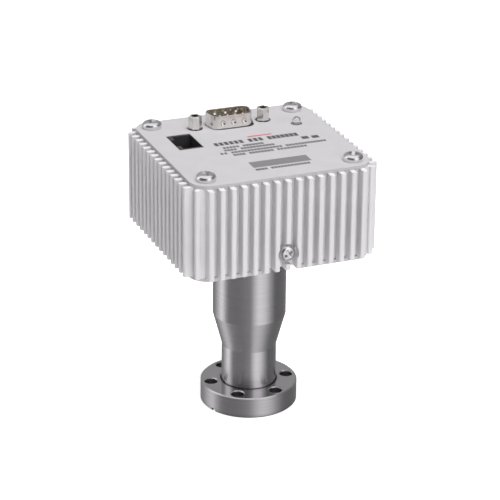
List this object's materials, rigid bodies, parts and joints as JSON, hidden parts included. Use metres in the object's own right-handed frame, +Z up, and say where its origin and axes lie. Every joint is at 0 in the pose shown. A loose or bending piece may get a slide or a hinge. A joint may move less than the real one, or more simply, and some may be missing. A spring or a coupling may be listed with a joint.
{
  "type": "hot cathode ionization gauge",
  "caption": "Vacuum gauge: a stepped steel sensor tube on a knife edge flange carries a finned square electronics housing with its plug, jack and lamp on top.",
  "frame": {"origin": "centre of the vacuum flange's sealing face, on the tube's axis", "axes": "+Z up the tube, away from the flange; -Y towards the front face with the side screw; +X to its right"},
  "size_m": [0.0688, 0.0688, 0.0999],
  "materials": {
    "housing_paint": "satin light grey coat on the finned extrusion",
    "cover_paint": "satin light grey coat on the sheet covers",
    "stainless": "machined stainless steel",
    "stainless_tube": "stainless tube with fine brushing round it",
    "bright_screw": "bright plated steel screws",
    "plated_steel": "tin and nickel plated steel",
    "seal_glass": "compression seal glass",
    "alloy_pin": "nickel iron pins",
    "hot_wire": "dull refractory wire",
    "board": "green glass epoxy with solder mask",
    "nickel_brass": "nickel plated brass",
    "ferrite": "dark sintered ferrite",
    "can_aluminium": "drawn aluminium cans",
    "black_plastic": "black moulded plastic",
    "connector_plastic": "dark connector moulding",
    "gold_contact": "gold plated contacts",
    "lamp_lens": "clear milky lamp lens",
    "tinned_lead": "tinned leads",
    "white_plastic": "white nylon"
  },
  "bodies": {
    "root": {"cf_flange": "stainless", "sensor_tube": "stainless_tube", "finned_housing": "housing_paint", "top_plate": "cover_paint", "base_plate": "cover_paint", "top_screws": "bright_screw", "side_screws": "bright_screw", "clinch_nuts": "plated_steel", "mounting_collar": "stainless", "collar_screws": "bright_screw", "feedthrough_header": "stainless", "feedthrough_glass": "seal_glass", "collector_pin": "alloy_pin", "ion_collector": "hot_wire", "grid_pins": "alloy_pin", "anode_grid": "hot_wire", "short_filament_pins": "alloy_pin", "long_filament_pins": "alloy_pin", "filaments": "hot_wire", "main_board": "board", "connector_board": "board", "lower_standoffs": "nickel_brass", "upper_standoffs": "nickel_brass", "board_screws": "bright_screw", "transformer_core": "ferrite", "capacitors": "can_aluminium", "control_chip": "black_plastic", "board_link": "black_plastic", "dsub_shell": "plated_steel", "dsub_insulator": "connector_plastic", "dsub_pins": "gold_contact", "dsub_spacers": "plated_steel", "jack_posts": "plated_steel", "modular_jack": "black_plastic", "jack_contacts": "gold_contact", "status_led": "lamp_lens", "led_leads": "tinned_lead", "led_spacer": "white_plastic"}
  },
  "joints": []
}
